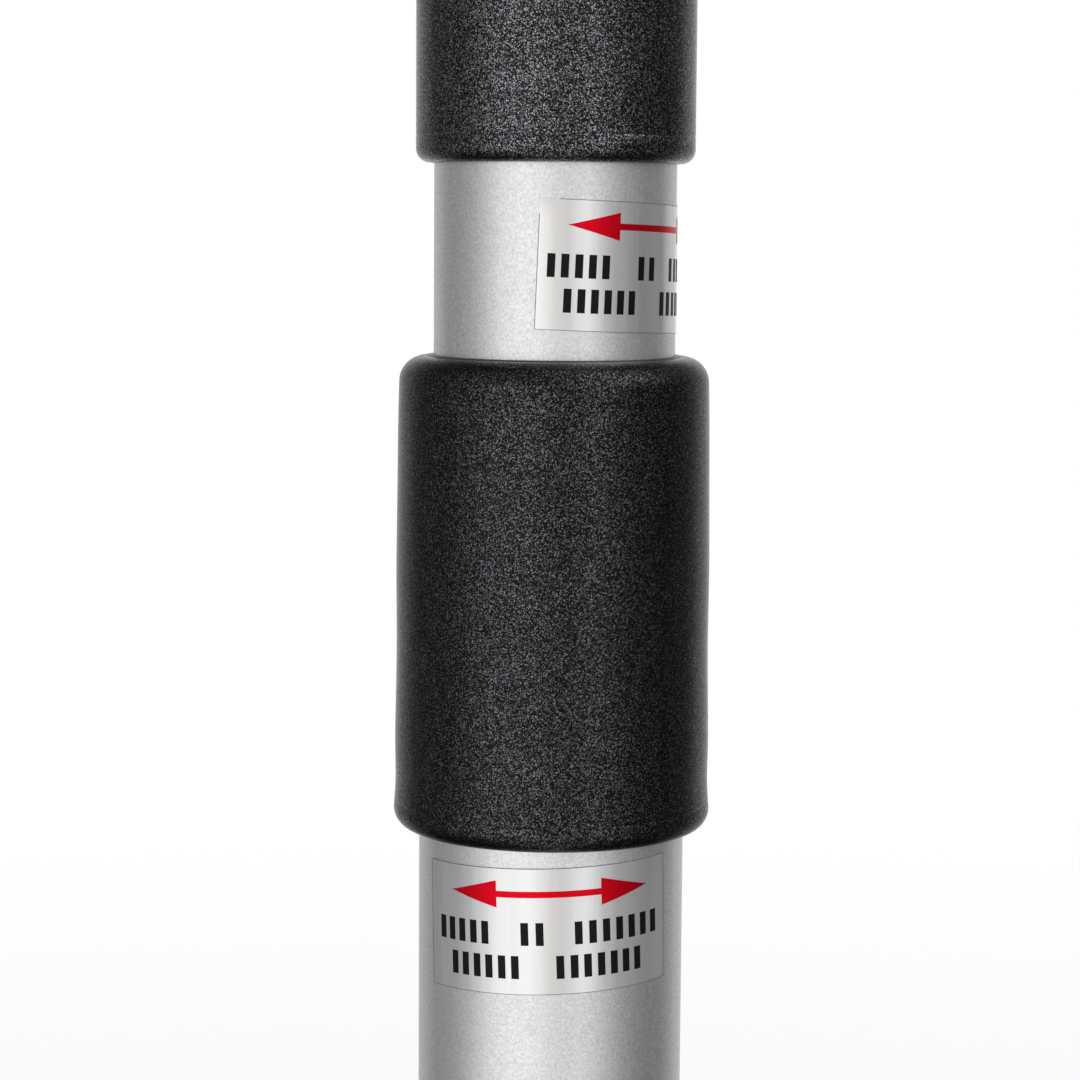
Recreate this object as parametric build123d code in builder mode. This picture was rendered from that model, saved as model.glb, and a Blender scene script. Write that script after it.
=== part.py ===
from build123d import *
import os
from math import sin, cos, radians, degrees, pi

os.makedirs("parts", exist_ok=True)

# ---------------------------------------------------------------------------
# Telescopic boom pole, collapsed.  Millimetres.
# +Z runs from the butt to the tip, origin on the ground face of the butt cap,
# -Y is the front (the side that carries the first label).
# ---------------------------------------------------------------------------

# drawn aluminium tubes, each sliding in the next size up
tube_ro = [15.875, 14.2875, 12.70, 11.1125, 9.525]     # outer radii, 1-1/4" down to 3/4"
tube_wall = 1.4732                                      # 0.058" wall
tube_ri = [r - tube_wall for r in tube_ro]

# stations along the pole
collar_len = 56.24            # length of one twist collar
collar_gap = 22.60            # bare tube left between two collars when collapsed
collar_z = [371.00 + i * (collar_len + collar_gap) for i in range(4)]   # lower faces
tube_end = 30.00              # a tube ends this far above its collar's lower face
tube_top = [z + tube_end for z in collar_z]
tip_z = collar_z[3] + collar_len + collar_gap           # lower face of the tip cap
tip_seat = 13.60              # the last tube ends this far above the tip cap's lower face
tube_top.append(tip_z + tip_seat)

# butt
cap_r, cap_top_r, cap_h = 18.90, 17.60, 32.00
cap_floor = 5.00
plug_top = 19.00
bumper_top = 22.00
stop_gap = 0.05               # play left at every end stop

# foot guides: one on the lower end of every inner tube
foot_floor = 4.00
foot_z = [0, bumper_top + stop_gap]
for i in range(2, 5):
    foot_z.append(foot_z[-1] + foot_floor + stop_gap)
travel = [0, 330.0, 405.0, 480.0, 555.0]                # slide of sections 2 to 5
foot_len = [0] + [tube_top[i - 1] - foot_z[i] - travel[i] - 0.10 for i in range(1, 5)]
foot_lap = 12.00              # the tube's end is turned down and sits in the foot
foot_turn = 0.70              # depth of that turned step
foot_clear = 0.03             # running clearance of a foot in the tube around it

# twist lock, radial build-up outside a tube of radius ro
ferrule_t = [0.875, 0.600, 0.600, 0.600]
cam_clear = 0.050
cam_out = [1.775, 1.350, 1.350, 1.350]                  # outer radius of the cam sleeve, over ro
cam_lift = [0.40, 0.30, 0.30, 0.30]                     # radial lift of the cam lobes
ring_out = [1.20, 0.98, 0.98, 0.98]                     # outer radius of the retaining ring, over ro
lobe_n = 3
bore_clear = 0.030            # collet and wiper bore over the tube that they hold

# twist lock, heights above the collar's lower face
h_lip = 3.00                  # inward lip of the grip under the cam sleeve
h_ring0, h_ring1 = 3.95, 4.80
h_ferrule0, h_ferrule1 = 5.00, 36.00
h_notch = 33.00
h_slit = 35.20
h_pad0, h_pad1 = 38.50, 49.00
h_cam0 = 37.20
h_collet1 = 50.00
h_flange = 50.20
h_cam1 = 52.20
h_wiper = 53.60
wiper_lip = 0.15              # the wiper's lip stands this proud of the collar
wiper_lip_t = 0.57

# grips: outer radius against height, the moulding is slightly waisted and belled
grip1_pts = [
    (18.93, 2.20), (18.84, 3.40), (18.74, 5.10), (18.72, 6.60), (18.76, 8.60),
    (18.78, 10.90), (18.73, 14.00), (18.67, 16.90), (18.63, 19.80), (18.61, 23.00),
    (18.63, 26.00), (18.66, 29.50), (18.65, 32.50), (18.61, 36.00), (18.56, 40.50),
    (18.51, 45.00), (18.46, 49.00), (18.36, 53.10),
]
grip1_fillet_top = 3.05
grip_rest_r = [0, 16.44, 14.85, 13.26]                  # straight grips of collars 2 to 4
grip_rest_fillet_bottom = 1.70
grip_rest_fillet_top = 2.60
seam_w, seam_d = 0.16, 0.05   # parting rings near the lower edge
seam_h = [1.75, 3.15]

# labels: foil stickers just under each collar
label_w, label_h, label_t = 32.40, 14.90, 0.10
label_phi = [-2.0, 56.5, -24.0, 14.0]                   # centre, degrees from the front towards +X
label_tilt = [2.1, -2.2, 0.8, -1.2]                     # degrees, anticlockwise seen from outside
label_dz = [9.58, 12.08, 11.20, 10.90]                  # centre below the collar's lower face

# tip
tip_r = 11.20
tip_cap_h = 20.00
pin_h, pin_hole_r = 6.00, 1.50
stud_r = 4.7625               # 3/8"-16 UNC
stud_out = 19.20
washer_t = 0.80
nut_h = 5.50
nut_r = 11.00
relief_r, relief_below, relief_above = 4.25, 0.70, 0.25   # thread relief at the parked lock nut's top


def save(builder, name):
    builder.part.label = name
    export_step(builder.part, f"parts/{name}.step")


# ---------------------------------------------------------------------------
# butt end
# ---------------------------------------------------------------------------
with BuildPart() as butt_cap:
    with BuildSketch(Plane.XZ):
        with BuildLine():
            Polyline(
                (3.20, 3.20), (7.60, 3.20), (7.60, 0.0), (cap_r, 0.0), (cap_r, 7.0),
                (cap_top_r, cap_h), (tube_ro[0], cap_h), (tube_ro[0], cap_floor),
                (3.20, cap_floor), (3.20, 3.20),
            )
        make_face()
    revolve(axis=Axis.Z)
    outer = butt_cap.edges().filter_by(GeomType.CIRCLE)
    fillet(outer.filter_by(lambda e: abs(e.radius - cap_r) < 0.01 and e.center().Z < 0.1), 2.0)
    fillet(butt_cap.edges().filter_by(GeomType.CIRCLE).filter_by(
        lambda e: abs(e.radius - cap_top_r) < 0.01), 1.2)
save(butt_cap, "butt_cap")

with BuildPart() as butt_plug:
    with BuildSketch(Plane.XY.offset(cap_floor)):
        Circle(tube_ri[0])
        Circle(3.0, mode=Mode.SUBTRACT)
    extrude(amount=plug_top - cap_floor)
    chamfer(butt_plug.edges().filter_by(GeomType.CIRCLE).filter_by(
        lambda e: abs(e.radius - tube_ri[0]) < 0.01), 0.6)
save(butt_plug, "butt_plug")

with BuildPart() as butt_bumper:
    with BuildSketch(Plane.XY.offset(plug_top)):
        Circle(tube_ri[0] - 0.30)
        Circle(4.0, mode=Mode.SUBTRACT)
    extrude(amount=bumper_top - plug_top)
    fillet(butt_bumper.faces().sort_by(Axis.Z)[-1].edges(), 0.5)
save(butt_bumper, "butt_bumper")

with BuildPart() as butt_screw:
    with BuildSketch(Plane.XY.offset(1.00)):
        Circle(5.40)
    extrude(amount=2.20)
    fillet(butt_screw.faces().sort_by(Axis.Z)[0].edges(), 1.1)
    with BuildSketch(Plane.XY.offset(1.00)):
        RegularPolygon(2.30, 6)
    extrude(amount=1.50, mode=Mode.SUBTRACT)
    with BuildSketch(Plane.XY.offset(3.20)):
        Circle(3.0)
    extrude(amount=14.60)
    chamfer(butt_screw.faces().sort_by(Axis.Z)[-1].edges(), 0.6)
save(butt_screw, "butt_screw")

# ---------------------------------------------------------------------------
# tubes and foot guides
# ---------------------------------------------------------------------------
for i in range(5):
    low = cap_floor if i == 0 else foot_z[i] + foot_len[i] - foot_lap
    with BuildPart() as tube:
        with BuildSketch(Plane.XY.offset(low)):
            Circle(tube_ro[i])
            Circle(tube_ri[i], mode=Mode.SUBTRACT)
        extrude(amount=tube_top[i] - low)
        if i > 0:
            # turned-down end that the foot guide is bonded over
            with BuildSketch(Plane.XY.offset(low)):
                Circle(tube_ro[i] + 1.0)
                Circle(tube_ro[i] - foot_turn, mode=Mode.SUBTRACT)
            extrude(amount=foot_lap, mode=Mode.SUBTRACT)
        chamfer(tube.faces().sort_by(Axis.Z)[-1].edges(), 0.25)
        if i == 4:
            # drilled for the cross pin of the tip cap
            with BuildSketch(Plane.YZ.offset(-15.0)):
                with Locations((0, tip_z + pin_h)):
                    Circle(pin_hole_r)
            extrude(amount=30.0, mode=Mode.SUBTRACT)
    save(tube, f"tube_{i + 1}")

for i in range(1, 5):
    z0, z1 = foot_z[i], foot_z[i] + foot_len[i]
    ro = tube_ri[i - 1] - foot_clear
    ri = tube_ri[i]
    with BuildPart() as foot:
        with BuildSketch(Plane.XZ):
            with BuildLine():
                Polyline(
                    (ri - 3.0, z0), (ro - 0.8, z0), (ro, z0 + 0.8), (ro, z1),
                    (tube_ro[i] - foot_turn, z1), (tube_ro[i] - foot_turn, z1 - foot_lap),
                    (ri, z1 - foot_lap), (ri, z0 + foot_floor), (ri - 3.0, z0 + foot_floor),
                    (ri - 3.0, z0),
                )
            make_face()
        revolve(axis=Axis.Z)
    save(foot, f"foot_guide_{i + 1}")

# ---------------------------------------------------------------------------
# twist locks: ferrule, collet, retaining ring, cam sleeve, grip, wiper
# ---------------------------------------------------------------------------
for i in range(4):
    n = i + 1
    zc = collar_z[i]
    ro = tube_ro[i]                     # tube that carries the lock
    rt = tube_ro[i + 1]                 # tube that the lock holds
    r_fer = ro + ferrule_t[i]
    r_cam0 = r_fer + cam_clear          # smallest cam radius, also the journal
    r_cam1 = r_cam0 + cam_lift[i]
    r_camo = ro + cam_out[i]
    r_bore = rt + bore_clear
    r_ring = ro + ring_out[i]
    key_w = 4.0

    # ferrule bonded over the tube's end, its rim notched for the collet's lugs
    with BuildPart() as ferrule:
        with BuildSketch(Plane.XY.offset(zc + h_ferrule0)):
            Circle(r_fer)
            Circle(ro, mode=Mode.SUBTRACT)
        extrude(amount=h_ferrule1 - h_ferrule0)
        with BuildSketch(Plane.XY.offset(zc + h_notch)):
            with PolarLocations(ro, 3, start_angle=30):
                Rectangle(6.0, key_w)
        extrude(amount=6.0, mode=Mode.SUBTRACT)
    save(ferrule, f"lock_{n}_ferrule")

    # split collet: base ring in the ferrule, three lugs, six fingers, three cam pads
    with BuildPart() as collet:
        with BuildSketch(Plane.XY.offset(zc + tube_end)):
            Circle(ro - 0.02)
            Circle(r_bore, mode=Mode.SUBTRACT)
        extrude(amount=h_collet1 - tube_end)
        with BuildSketch(Plane.XY.offset(zc + h_notch + 0.05)):
            with PolarLocations(ro - 0.35, 3, start_angle=30):
                Rectangle(2 * (r_fer - ro) + 0.5, key_w - 0.1)
        extrude(amount=h_ferrule1 - h_notch - 0.05)
        with BuildSketch(Plane.XY.offset(zc + h_notch)):
            Circle(ro + 5.0)
            Circle(r_fer - 0.05, mode=Mode.SUBTRACT)
        extrude(amount=6.0, mode=Mode.SUBTRACT)
        # cam pads: raised bands in the middle of every second finger
        with BuildSketch(Plane.XY.offset(zc + h_pad0)):
            Circle(r_cam0 - 0.04)
            Circle(r_bore + 0.4, mode=Mode.SUBTRACT)
            with PolarLocations(ro, 3, start_angle=0):
                Rectangle(2 * 5.5, 2 * ro * sin(radians(9.0)), mode=Mode.INTERSECT)
        extrude(amount=h_pad1 - h_pad0)
        # slits between the fingers
        with BuildSketch(Plane.XY.offset(zc + h_slit)):
            with PolarLocations(ro, 6, start_angle=30):
                Rectangle(8.0, 1.20)
        extrude(amount=h_collet1 - h_slit + 1.0, mode=Mode.SUBTRACT)
    save(collet, f"lock_{n}_collet")

    # retaining ring, open, sprung into the cam sleeve under the ferrule
    with BuildPart() as ring:
        with BuildSketch(Plane.XY.offset(zc + h_ring0)):
            Circle(r_ring)
            Circle(ro + 0.15, mode=Mode.SUBTRACT)
            with PolarLocations(ro + 0.6, 1, start_angle=90):
                Rectangle(6.0, 3.5, mode=Mode.SUBTRACT)
        extrude(amount=h_ring1 - h_ring0)
    save(ring, f"collar_{n}_retaining_ring")

    # cam sleeve: hard liner that runs on the ferrule, with the lobed bore above it
    with BuildPart() as cam:
        with BuildSketch(Plane.XZ):
            with BuildLine():
                Polyline(
                    (r_cam0, zc + h_lip), (r_camo, zc + h_lip), (r_camo, zc + h_cam1),
                    (r_bore + 0.40, zc + h_cam1), (r_bore + 0.40, zc + h_flange),
                    (r_cam0, zc + h_flange), (r_cam0, zc + h_ring1 + 0.05),
                    (r_ring + 0.03, zc + h_ring1 + 0.05), (r_ring + 0.03, zc + h_ring0 - 0.05),
                    (r_cam0, zc + h_ring0 - 0.05), (r_cam0, zc + h_lip),
                )
            make_face()
        revolve(axis=Axis.Z)
        with BuildSketch(Plane.XY.offset(zc + h_cam0)):
            with BuildLine():
                # three lobes; even their lowest point stays just outside the journal bore
                r_mean = r_cam0 + 0.03 + 0.5 * (cam_lift[i] - 0.03)
                amp = 0.5 * (cam_lift[i] - 0.03)
                lobe = [
                    ((r_mean + amp * cos(radians(lobe_n * a))) * cos(radians(a)),
                     (r_mean + amp * cos(radians(lobe_n * a))) * sin(radians(a)))
                    for a in range(0, 360, 10)
                ]
                Spline(*lobe, periodic=True)
            make_face()
        extrude(amount=h_flange - h_cam0, mode=Mode.SUBTRACT)
    save(cam, f"collar_{n}_cam_sleeve")

    # grip: the black moulded sleeve
    r_lip = ro + 0.25
    r_mouth = r_bore + wiper_lip_t + 0.05
    with BuildPart() as grip:
        with BuildSketch(Plane.XZ):
            with BuildLine():
                if i == 0:
                    wave = [(r, zc + h) for r, h in grip1_pts]
                    r_low, h_low = 16.95, 0.0
                    outer = Spline(*wave)
                    # lower edge: a quarter round from the lower face up to the belled lip
                    ThreePointArc((r_low, zc), (18.36, zc + 0.60), wave[0])
                    f = grip1_fillet_top
                    x1 = wave[-1][0]
                    ThreePointArc(wave[-1], (x1 - f + f * cos(radians(43)), zc + collar_len - f + f * sin(radians(43))),
                                  (x1 - f, zc + collar_len))
                    p_top = (x1 - f, zc + collar_len)
                    p_low = (r_low, zc)
                else:
                    rg = grip_rest_r[i]
                    fb, ft = grip_rest_fillet_bottom, grip_rest_fillet_top
                    Line((rg, zc + fb), (rg, zc + collar_len - ft))
                    s = sin(radians(45))
                    ThreePointArc((rg - fb, zc), (rg - fb + fb * s, zc + fb - fb * s), (rg, zc + fb))
                    ThreePointArc((rg, zc + collar_len - ft), (rg - ft + ft * s, zc + collar_len - ft + ft * s),
                                  (rg - ft, zc + collar_len))
                    p_top = (rg - ft, zc + collar_len)
                    p_low = (rg - fb, zc)
                Polyline(
                    p_top, (r_mouth, zc + collar_len), (r_mouth, zc + h_wiper),
                    (ro - 0.10, zc + h_wiper), (ro - 0.10, zc + h_cam1), (r_camo, zc + h_cam1),
                    (r_camo, zc + h_lip), (r_lip, zc + h_lip), (r_lip, zc), p_low,
                )
            make_face()
        revolve(axis=Axis.Z)
        # parting rings of the mould
        for k, hs in enumerate(seam_h):
            rs = (19.5 if i == 0 else grip_rest_r[i] + 0.5)
            surf = (18.87 if hs < 2 else 18.86) if i == 0 else grip_rest_r[i]
            if i > 0 and hs < 2:
                continue
            with BuildSketch(Plane.XY.offset(zc + hs - seam_w / 2)):
                Circle(rs)
                Circle(surf - seam_d, mode=Mode.SUBTRACT)
            extrude(amount=seam_w, mode=Mode.SUBTRACT)
    save(grip, f"collar_{n}_grip")

    # wiper ring at the mouth, its flange held under the grip's top lip
    with BuildPart() as wiper:
        with BuildSketch(Plane.XZ):
            with BuildLine():
                zt = zc + collar_len + wiper_lip
                Polyline(
                    (r_bore, zc + h_cam1), (ro - 0.15, zc + h_cam1), (ro - 0.15, zc + h_wiper),
                    (r_bore + wiper_lip_t, zc + h_wiper), (r_bore + wiper_lip_t, zt - 0.18),
                    (r_bore + wiper_lip_t - 0.18, zt), (r_bore + 0.12, zt), (r_bore, zt - 0.12),
                    (r_bore, zc + h_cam1),
                )
            make_face()
        revolve(axis=Axis.Z)
    save(wiper, f"collar_{n}_wiper")

    # foil label on the tube, just under the collar
    z_lab = zc - label_dz[i]
    half = degrees(label_w / 2 / ro)
    th = radians(label_tilt[i])
    phi = radians(label_phi[i])
    rad = Vector(sin(phi), -cos(phi), 0)            # outward at the label's centre
    tan = Vector(cos(phi), sin(phi), 0)             # to the right, seen from outside
    up = Vector(0, 0, 1) * cos(th) - tan * sin(th)  # the label's own up
    with BuildPart() as label:
        with BuildSketch(Plane.XY.offset(z_lab - label_h)):
            Circle(ro + label_t)
            Circle(ro, mode=Mode.SUBTRACT)
        extrude(amount=2 * label_h)
        split(bisect_by=Plane(origin=Vector(0, 0, z_lab) + up * (label_h / 2), z_dir=up), keep=Keep.BOTTOM)
        split(bisect_by=Plane(origin=Vector(0, 0, z_lab) - up * (label_h / 2), z_dir=up), keep=Keep.TOP)
        for side in (-1, 1):
            pe = phi + side * radians(half)
            rad_e = Vector(sin(pe), -cos(pe), 0)
            tan_e = Vector(cos(pe), sin(pe), 0)
            nrm = tan_e * cos(th) + Vector(0, 0, 1) * sin(th)
            split(bisect_by=Plane(origin=Vector(0, 0, z_lab + side * label_w / 2 * sin(th)), z_dir=nrm * side),
                  keep=Keep.BOTTOM)
    save(label, f"label_{n}")

# ---------------------------------------------------------------------------
# tip: cap, stud, cross pin, friction washer and the spinning lock nut
# ---------------------------------------------------------------------------
z_cap1 = tip_z + tip_cap_h
z_nut = z_cap1 + washer_t + 0.05
with BuildPart() as tip_cap:
    with BuildSketch(Plane.XZ):
        with BuildLine():
            Polyline(
                (tube_ro[4], tip_z), (tip_r - 0.8, tip_z), (tip_r, tip_z + 0.8), (tip_r, z_cap1 - 1.0),
                (tip_r - 1.0, z_cap1), (stud_r, z_cap1), (stud_r, tip_z - 8.0), (tube_ri[4], tip_z - 8.0),
                (tube_ri[4], tube_top[4]), (tube_ro[4], tube_top[4]), (tube_ro[4], tip_z),
            )
        make_face()
    revolve(axis=Axis.Z)
    with BuildSketch(Plane.YZ.offset(-15.0)):
        with Locations((0, tip_z + pin_h)):
            Circle(pin_hole_r)
    extrude(amount=30.0, mode=Mode.SUBTRACT)
save(tip_cap, "tip_cap")

with BuildPart() as tip_stud:
    with BuildSketch(Plane.XY.offset(tip_z - 8.0)):
        Circle(stud_r)
    extrude(amount=8.0 + tip_cap_h + stud_out)
    chamfer(tip_stud.faces().sort_by(Axis.Z)[-1].edges(), 0.8)
    with BuildSketch(Plane.XY.offset(z_nut + nut_h - relief_below)):
        Circle(stud_r + 1.0)
        Circle(relief_r, mode=Mode.SUBTRACT)
    extrude(amount=relief_below + relief_above, mode=Mode.SUBTRACT)
    with BuildSketch(Plane.YZ.offset(-15.0)):
        with Locations((0, tip_z + pin_h)):
            Circle(pin_hole_r)
    extrude(amount=30.0, mode=Mode.SUBTRACT)
save(tip_stud, "tip_stud")

with BuildPart() as tip_pin:
    with BuildSketch(Plane.YZ.offset(-tip_r + 0.15)):
        with Locations((0, tip_z + pin_h)):
            Circle(pin_hole_r - 0.01)
    extrude(amount=2 * tip_r - 0.30)
save(tip_pin, "tip_pin")

with BuildPart() as tip_washer:
    with BuildSketch(Plane.XY.offset(z_cap1)):
        Circle(9.60)
        Circle(stud_r + 0.03, mode=Mode.SUBTRACT)
    extrude(amount=washer_t)
save(tip_washer, "tip_washer")

with BuildPart() as tip_nut:
    with BuildSketch(Plane.XY.offset(z_nut)):
        Circle(nut_r)
        Circle(stud_r + 0.05, mode=Mode.SUBTRACT)
    extrude(amount=nut_h)
    chamfer(tip_nut.edges().filter_by(GeomType.CIRCLE).filter_by(lambda e: abs(e.radius - nut_r) < 0.01), 0.7)
    with BuildSketch(Plane.XY.offset(z_nut)):
        with PolarLocations(nut_r + 0.25, 36):
            Circle(0.60)
    extrude(amount=nut_h, mode=Mode.SUBTRACT)
save(tip_nut, "tip_nut")

print("collapsed length", z_cap1 + stud_out, "extended", z_cap1 + stud_out + sum(travel))
print("foot lengths", foot_len, "foot z", foot_z)
print("tube tops", tube_top, "collars", collar_z, "tip", tip_z)
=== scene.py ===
import math
import random

import bpy
from mathutils import Euler, Matrix, Vector, noise


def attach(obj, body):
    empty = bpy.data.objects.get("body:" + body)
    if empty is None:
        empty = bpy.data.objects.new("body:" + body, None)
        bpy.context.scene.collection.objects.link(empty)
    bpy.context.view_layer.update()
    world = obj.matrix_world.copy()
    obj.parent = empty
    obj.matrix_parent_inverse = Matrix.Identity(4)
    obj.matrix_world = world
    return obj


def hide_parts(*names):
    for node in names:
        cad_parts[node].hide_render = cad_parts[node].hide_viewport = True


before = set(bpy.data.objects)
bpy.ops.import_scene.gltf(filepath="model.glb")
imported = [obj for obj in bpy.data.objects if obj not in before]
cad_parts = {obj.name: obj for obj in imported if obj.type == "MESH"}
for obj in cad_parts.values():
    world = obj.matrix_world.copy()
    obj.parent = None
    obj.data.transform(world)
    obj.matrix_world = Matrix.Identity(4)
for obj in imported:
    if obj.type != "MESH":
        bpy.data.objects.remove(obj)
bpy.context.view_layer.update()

MM = 0.001

# ---------------------------------------------------------------------------
# driving sizes, millimetres, the same as in the CAD
# ---------------------------------------------------------------------------
TUBE_RO = [15.875, 14.2875, 12.70, 11.1125, 9.525]
WALL = 1.4732
TUBE_RI = [r - WALL for r in TUBE_RO]
COLLAR_LEN, COLLAR_GAP, TUBE_END = 56.24, 22.60, 30.0
COLLAR_Z = [371.0 + i * (COLLAR_LEN + COLLAR_GAP) for i in range(4)]
TIP_Z = COLLAR_Z[3] + COLLAR_LEN + COLLAR_GAP
TUBE_TOP = [z + TUBE_END for z in COLLAR_Z] + [TIP_Z + 13.6]
FOOT_Z = [0, 22.05, 26.10, 30.15, 34.20]
TRAVEL = [0, 330.0, 405.0, 480.0, 555.0]
FOOT_LEN = [0] + [TUBE_TOP[i - 1] - FOOT_Z[i] - TRAVEL[i] - 0.10 for i in range(1, 5)]
FOOT_LAP, FOOT_TURN = 12.0, 0.70
TUBE_LOW = [5.0] + [FOOT_Z[i] + FOOT_LEN[i] - FOOT_LAP for i in range(1, 5)]
SECTION = ["base", "section_2", "section_3", "section_4", "section_5"]
CAM_OUT = [1.775, 1.35, 1.35, 1.35]
GRIP_R = [None, 16.44, 14.85, 13.26]
BORE_CLEAR = 0.03
LABEL_W, LABEL_H, LABEL_T = 32.40, 14.90, 0.10
LABEL_PHI = [-2.0, 56.5, -24.0, 14.0]
LABEL_TILT = [2.1, -2.2, 0.8, -1.2]
LABEL_DZ = [9.58, 12.08, 11.20, 10.90]
PRINT_SHIFT = [(0.44, 0.0), (-0.36, 0.18), (0.15, -0.12), (0.60, 0.08)]


# ---------------------------------------------------------------------------
# camera
# ---------------------------------------------------------------------------
cam_data = bpy.data.cameras.new("camera")
cam_data.sensor_fit = "HORIZONTAL"
cam_data.sensor_width = 36.0
cam_data.lens = 100.59
cam_data.clip_start = 0.01
cam_data.clip_end = 50.0
cam = bpy.data.objects.new("camera", cam_data)
bpy.context.scene.collection.objects.link(cam)
cam.matrix_world = (
    Matrix.Translation((-1.548 * MM, -357.75 * MM, (399.40 + 45.71) * MM))
    @ Matrix.Rotation(math.radians(90.0 - 6.356), 4, "X")
    @ Matrix.Rotation(math.radians(0.3877), 4, "Z")
)
bpy.context.scene.camera = cam


# ---------------------------------------------------------------------------
# node helpers
# ---------------------------------------------------------------------------
class Mat:
    """A material and short calls that add nodes to it."""

    def __init__(self, name):
        self.mat = bpy.data.materials.new(name)
        self.mat.use_nodes = True
        self.nt = self.mat.node_tree
        self.nt.nodes.clear()
        self.out = self.nt.nodes.new("ShaderNodeOutputMaterial")
        self.bsdf = self.nt.nodes.new("ShaderNodeBsdfPrincipled")
        self.nt.links.new(self.bsdf.outputs[0], self.out.inputs["Surface"])
        self.coord = self.nt.nodes.new("ShaderNodeTexCoord").outputs["Object"]

    def link(self, a, b):
        self.nt.links.new(a, b)

    def set(self, **values):
        for k, v in values.items():
            self.bsdf.inputs[k.replace("_", " ")].default_value = v
        return self

    def node(self, kind, **props):
        n = self.nt.nodes.new(kind)
        for k, v in props.items():
            setattr(n, k, v)
        return n

    def mapping(self, vector, scale=(1, 1, 1), location=(0, 0, 0)):
        n = self.node("ShaderNodeMapping")
        n.inputs["Scale"].default_value = scale
        n.inputs["Location"].default_value = location
        self.link(vector, n.inputs["Vector"])
        return n.outputs[0]

    def noise(self, scale, detail=2.0, rough=0.5, vector=None, dist=0.0):
        n = self.node("ShaderNodeTexNoise")
        n.inputs["Scale"].default_value = scale
        n.inputs["Detail"].default_value = detail
        n.inputs["Roughness"].default_value = rough
        n.inputs["Distortion"].default_value = dist
        self.link(vector or self.coord, n.inputs["Vector"])
        return n.outputs["Fac"]

    def voronoi(self, scale, vector=None, feature="F1", rand=1.0, out="Distance"):
        n = self.node("ShaderNodeTexVoronoi", feature=feature)
        n.inputs["Scale"].default_value = scale
        n.inputs["Randomness"].default_value = rand
        self.link(vector or self.coord, n.inputs["Vector"])
        return n.outputs[out]

    def math(self, op, a, b=None, clamp=False):
        n = self.node("ShaderNodeMath", operation=op, use_clamp=clamp)
        for i, v in enumerate((a, b)):
            if v is None:
                continue
            if isinstance(v, (int, float)):
                n.inputs[i].default_value = v
            else:
                self.link(v, n.inputs[i])
        return n.outputs[0]

    def remap(self, v, lo, hi, to_lo, to_hi, clamp=True):
        n = self.node("ShaderNodeMapRange", clamp=clamp)
        self.link(v, n.inputs["Value"])
        for k, x in (("From Min", lo), ("From Max", hi), ("To Min", to_lo), ("To Max", to_hi)):
            n.inputs[k].default_value = x
        return n.outputs[0]

    def mix(self, fac, a, b):
        n = self.node("ShaderNodeMix", data_type="RGBA")
        if isinstance(fac, (int, float)):
            n.inputs[0].default_value = fac
        else:
            self.link(fac, n.inputs[0])
        for i, v in ((6, a), (7, b)):
            if isinstance(v, (tuple, list)):
                n.inputs[i].default_value = (*v, 1.0) if len(v) == 3 else v
            else:
                self.link(v, n.inputs[i])
        return n.outputs[2]

    def bump(self, height, strength, distance, normal=None):
        n = self.node("ShaderNodeBump")
        n.inputs["Strength"].default_value = strength
        n.inputs["Distance"].default_value = distance
        self.link(height, n.inputs["Height"])
        if normal is not None:
            self.link(normal, n.inputs["Normal"])
        return n.outputs[0]

    def around(self):
        """(arc length round the pole's axis, 0, height) as a vector: the surface unrolled, in metres."""
        sep = self.node("ShaderNodeSeparateXYZ")
        self.link(self.coord, sep.inputs[0])
        ang = self.math("ARCTAN2", sep.outputs[0], self.math("MULTIPLY", sep.outputs[1], -1.0))
        arc = self.math("MULTIPLY", ang, 0.0145)
        comb = self.node("ShaderNodeCombineXYZ")
        self.link(arc, comb.inputs[0])
        self.link(sep.outputs[2], comb.inputs[2])
        return comb.outputs[0]

    def color(self, v):
        if isinstance(v, (tuple, list)):
            self.bsdf.inputs["Base Color"].default_value = (*v, 1.0)
        else:
            self.link(v, self.bsdf.inputs["Base Color"])
        return self

    def rough(self, v):
        if isinstance(v, (int, float)):
            self.bsdf.inputs["Roughness"].default_value = v
        else:
            self.link(v, self.bsdf.inputs["Roughness"])
        return self

    def normal(self, v):
        self.link(v, self.bsdf.inputs["Normal"])
        return self


# ---------------------------------------------------------------------------
# materials
# ---------------------------------------------------------------------------
def tube_material(name="tube_satin_aluminium", base=(0.83, 0.83, 0.835)):
    """Bead-blasted, clear-anodised aluminium: fine grain, faint draw lines, a few tiny specks."""
    m = Mat(name)
    grain = m.noise(3600.0, 2.0, 0.6)
    coarse = m.noise(1300.0, 2.0, 0.55)
    lines = m.noise(900.0, 2.0, 0.5, m.mapping(m.around(), (1.0, 1.0, 0.012)))
    cloud = m.noise(22.0, 3.0, 0.5)
    spots = m.voronoi(420.0)
    speck = m.remap(spots, 0.02, 0.07, 1.0, 0.0)
    tone = m.mix(m.remap(grain, 0.35, 0.65, 0.0, 1.0), tuple(c * 0.86 for c in base), tuple(min(1.0, c * 1.13) for c in base))
    tone = m.mix(m.remap(cloud, 0.35, 0.7, 0.0, 0.35), tone, tuple(c * 0.955 for c in base))
    tone = m.mix(m.math("MULTIPLY", speck, 0.35), tone, (0.42, 0.42, 0.43))
    m.color(tone)
    m.set(Metallic=1.0)
    r = m.remap(coarse, 0.3, 0.7, 0.37, 0.44)
    r = m.math("ADD", r, m.remap(lines, 0.3, 0.7, -0.02, 0.02))
    m.rough(r)
    h = m.math("ADD", m.math("MULTIPLY", grain, 0.7), m.math("MULTIPLY", coarse, 0.5))
    n1 = m.bump(h, 0.55, 0.00002)
    n2 = m.bump(lines, 0.10, 0.00002, n1)
    m.normal(n2)
    return m.mat


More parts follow.
